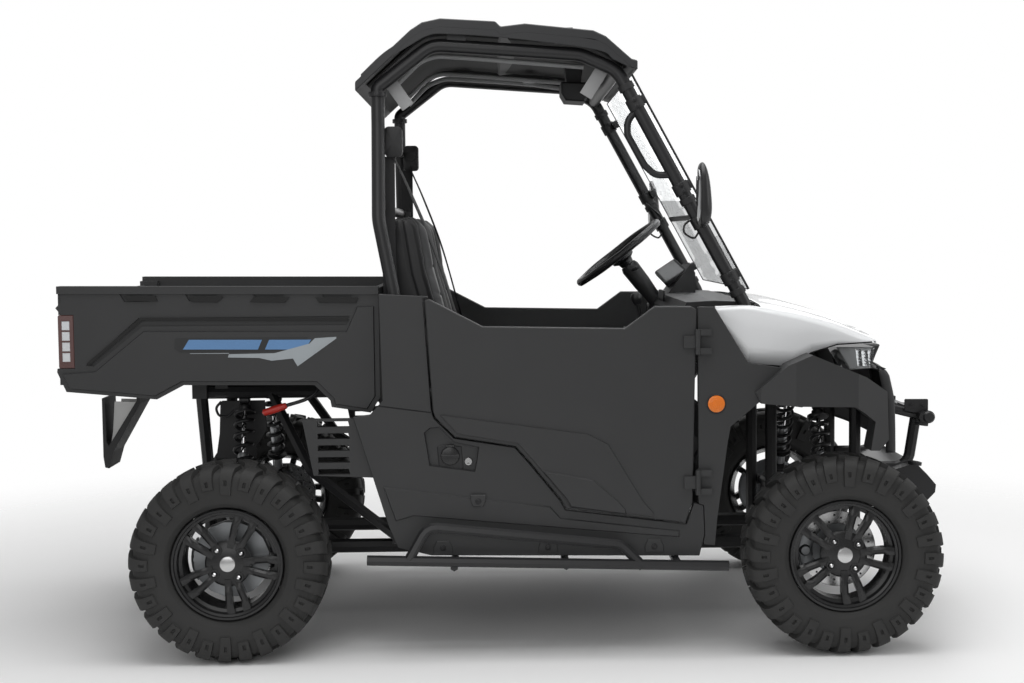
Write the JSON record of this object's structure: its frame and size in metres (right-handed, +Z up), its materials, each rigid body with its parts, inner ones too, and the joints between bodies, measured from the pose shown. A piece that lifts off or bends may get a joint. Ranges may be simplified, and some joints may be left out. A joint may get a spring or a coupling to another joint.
{
  "type": "side by side utility vehicle",
  "caption": "Two-seat side by side utility vehicle with half doors, tube cage, roof, windscreen and tipping cargo bed.",
  "frame": {"origin": "on the ground under the middle of the overall length, on the centre plane", "axes": "+X forward, +Y to the vehicle's left, +Z up"},
  "size_m": [2.983, 1.72, 2.0789],
  "materials": {
    "black_plastic": "textured black plastic",
    "charcoal_plastic": "fine-grained moulded plastic",
    "black_steel": "satin black powder coat",
    "cast_alloy": "as cast",
    "rim_black": "satin black wheel paint",
    "tyre_rubber": "dull black rubber",
    "lamp_lens": "clear lamp lens",
    "bare_steel": "bright plated steel",
    "white_paint": "gloss white moulded plastic",
    "seat_vinyl": "black grained vinyl",
    "red_lens": "red and clear lamp lens",
    "clear_plastic": "clear hard-coated sheet"
  },
  "bodies": {
    "chassis": {"battery_box": "black_plastic", "cage_header": "black_steel", "cage_rear_hoop": "black_steel", "cage_side_left": "black_steel", "cage_side_right": "black_steel", "dashboard": "black_plastic", "floor_pan": "black_plastic", "frame": "black_steel", "front_arms": "black_steel", "front_bumper": "black_steel", "front_drive": "cast_alloy", "front_fascia": "charcoal_plastic", "front_fender_left": "charcoal_plastic", "front_fender_right": "charcoal_plastic", "front_shock_left": "black_steel", "front_shock_right": "black_steel", "headlight_left": "lamp_lens", "headlight_right": "lamp_lens", "hitch": "bare_steel", "hood": "white_paint", "mirror_left": "black_plastic", "mirror_right": "black_plastic", "rear_arms": "black_steel", "rear_carrier_left": "cast_alloy", "rear_carrier_right": "cast_alloy", "rear_drive": "cast_alloy", "rear_shock_left": "black_steel", "rear_shock_right": "black_steel", "roof": "black_plastic", "seat_back_left": "seat_vinyl", "seat_back_right": "seat_vinyl", "seat_cushion_left": "seat_vinyl", "seat_cushion_right": "seat_vinyl", "side_panel_left": "charcoal_plastic", "side_panel_right": "charcoal_plastic", "steering_column": "black_plastic", "step_bar_left": "black_steel", "step_bar_right": "black_steel", "windscreen_lower": "clear_plastic", "windscreen_upper": "clear_plastic"},
    "steer_right": {"front_knuckle_right": "cast_alloy"},
    "steer_left": {"front_knuckle_left": "cast_alloy"},
    "wheel_front_right": {"front_tyre_right": "tyre_rubber", "front_rim_right": "rim_black"},
    "wheel_front_left": {"front_tyre_left": "tyre_rubber", "front_rim_left": "rim_black"},
    "wheel_rear_right": {"rear_tyre_right": "tyre_rubber", "rear_rim_right": "rim_black"},
    "wheel_rear_left": {"rear_tyre_left": "tyre_rubber", "rear_rim_left": "rim_black"},
    "door_right": {"door_right": "charcoal_plastic"},
    "door_left": {"door_left": "charcoal_plastic"},
    "cargo_bed": {"bed_tub": "charcoal_plastic", "tail_light_right": "red_lens", "tail_light_left": "red_lens", "plate_bracket": "black_plastic"},
    "tailgate": {"tailgate": "charcoal_plastic"},
    "steering_wheel": {"steering_wheel": "black_plastic"}
  },
  "joints": [
    {"name": "steer_right_turn", "type": "hinge", "parent": "chassis", "child": "steer_right", "pos_m": [1.0725, -0.575, 0.32484], "axis": [0, 0, 1], "range_deg": [-30, 30]},
    {"name": "steer_left_turn", "type": "hinge", "parent": "chassis", "child": "steer_left", "pos_m": [1.0725, 0.575, 0.32484], "axis": [0, 0, 1], "range_deg": [-30, 30]},
    {"name": "steering_wheel_turn", "type": "hinge", "parent": "chassis", "child": "steering_wheel", "pos_m": [0.4245, 0.33, 1.305], "axis": [-0.6101, 0, 0.7923], "range_deg": [-270, 270]},
    {"name": "wheel_front_right_spin", "type": "hinge", "parent": "steer_right", "child": "wheel_front_right", "pos_m": [1.0725, -0.67, 0.32484], "axis": [0, 1, 0], "continuous": true},
    {"name": "wheel_front_left_spin", "type": "hinge", "parent": "steer_left", "child": "wheel_front_left", "pos_m": [1.0725, 0.67, 0.32484], "axis": [0, 1, 0], "continuous": true},
    {"name": "wheel_rear_right_spin", "type": "hinge", "parent": "chassis", "child": "wheel_rear_right", "pos_m": [-0.9315, -0.665, 0.32484], "axis": [0, 1, 0], "continuous": true},
    {"name": "wheel_rear_left_spin", "type": "hinge", "parent": "chassis", "child": "wheel_rear_left", "pos_m": [-0.9315, 0.665, 0.32484], "axis": [0, 1, 0], "continuous": true},
    {"name": "door_right_hinge", "type": "hinge", "parent": "chassis", "child": "door_right", "pos_m": [0.5975, -0.7194, 0.803], "axis": [0, 0, 1], "range_deg": [0, 65]},
    {"name": "door_left_hinge", "type": "hinge", "parent": "chassis", "child": "door_left", "pos_m": [0.5975, 0.7194, 0.803], "axis": [0, 0, -1], "range_deg": [0, 65]},
    {"name": "cargo_bed_tip", "type": "hinge", "parent": "chassis", "child": "cargo_bed", "pos_m": [-1.0815, 0, 0.845], "axis": [0, -1, 0], "range_deg": [0, 40]},
    {"name": "tailgate_hinge", "type": "hinge", "parent": "cargo_bed", "child": "tailgate", "pos_m": [-1.4725, 0, 0.915], "axis": [0, -1, 0], "range_deg": [0, 90]}
  ],
  "couplings": [
    {"joint": "steer_left_turn", "follows": "steer_right_turn", "ratio": 1},
    {"joint": "steering_wheel_turn", "follows": "steer_right_turn", "ratio": 9}
  ]
}
